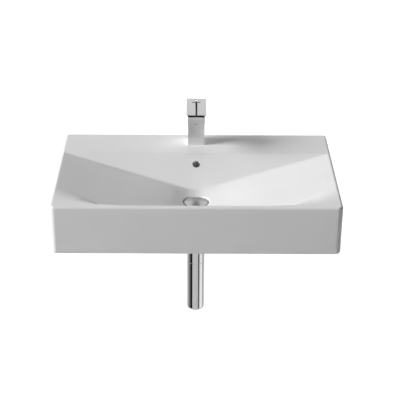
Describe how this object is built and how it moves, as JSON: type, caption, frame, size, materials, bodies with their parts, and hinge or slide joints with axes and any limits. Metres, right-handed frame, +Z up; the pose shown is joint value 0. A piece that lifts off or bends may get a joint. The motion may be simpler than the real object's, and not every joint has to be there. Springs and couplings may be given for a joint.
{
  "type": "wall hung basin",
  "caption": "Rectangular wall hung ceramic basin with a tap ledge, single-lever mixer with a slotted flat lever, push-open waste and slim bottle trap.",
  "frame": {"origin": "on the wall face, midway between the two wall studs", "axes": "+X along the basin's width to the right as seen from the front, +Y into the wall, +Z up"},
  "size_m": [0.75, 0.52, 0.526],
  "materials": {
    "glaze": "glossy white glaze",
    "chrome": "polished chrome plate",
    "brass": "turned brass",
    "zinc_steel": "zinc plated steel",
    "rubber": "black rubber",
    "nylon": "natural nylon",
    "grey_plastic": "moulded plastic",
    "disc_ceramic": "ground alumina"
  },
  "bodies": {
    "basin": {"basin": "glaze", "wall_studs": "zinc_steel", "stud_sleeves": "nylon", "stud_washers": "zinc_steel", "stud_nuts": "zinc_steel", "waste_body": "chrome", "waste_flange_seal": "rubber", "waste_lower_seal": "rubber", "waste_washer": "nylon", "waste_back_nut": "brass", "plug_latch": "brass", "tail_nut": "chrome", "tail_seal": "rubber", "tailpipe": "chrome", "trap_head": "chrome", "trap_inlet_nut": "chrome", "trap_inlet_seal": "rubber", "dip_tube": "grey_plastic", "trap_cup": "chrome", "trap_cup_seal": "rubber", "outlet_nut": "chrome", "outlet_seal": "rubber", "outlet_pipe": "chrome", "wall_rosette": "chrome", "mixer_body": "chrome", "mixer_base_seal": "rubber", "aerator_housing": "chrome", "aerator_insert": "grey_plastic", "cartridge_seal": "rubber", "cartridge": "grey_plastic", "fixed_disc": "disc_ceramic", "cartridge_ring_nut": "brass", "mixer_stud": "brass", "mixer_rubber_washer": "rubber", "mixer_metal_washer": "zinc_steel", "mixer_fixing_nut": "brass"},
    "swivel": {"cartridge_rotor": "grey_plastic", "rotor_pin": "zinc_steel", "moving_disc": "disc_ceramic"},
    "lever": {"lever_spindle": "brass", "lever": "chrome", "lever_screw": "zinc_steel"},
    "plug": {"plug_cap": "chrome", "plug_seal": "rubber"}
  },
  "joints": [
    {"name": "lever_swivel", "type": "hinge", "parent": "basin", "child": "swivel", "pos_m": [0, -0.054, 0.172], "axis": [0, 0, 1], "range_deg": [-45, 45]},
    {"name": "lever_lift", "type": "hinge", "parent": "swivel", "child": "lever", "pos_m": [0, -0.054, 0.172], "axis": [-1, 0, 0], "range_deg": [0, 15]},
    {"name": "plug_slide", "type": "slide", "parent": "basin", "child": "plug", "axis": [0, 0, 1], "range_m": [0, 0.008]}
  ]
}
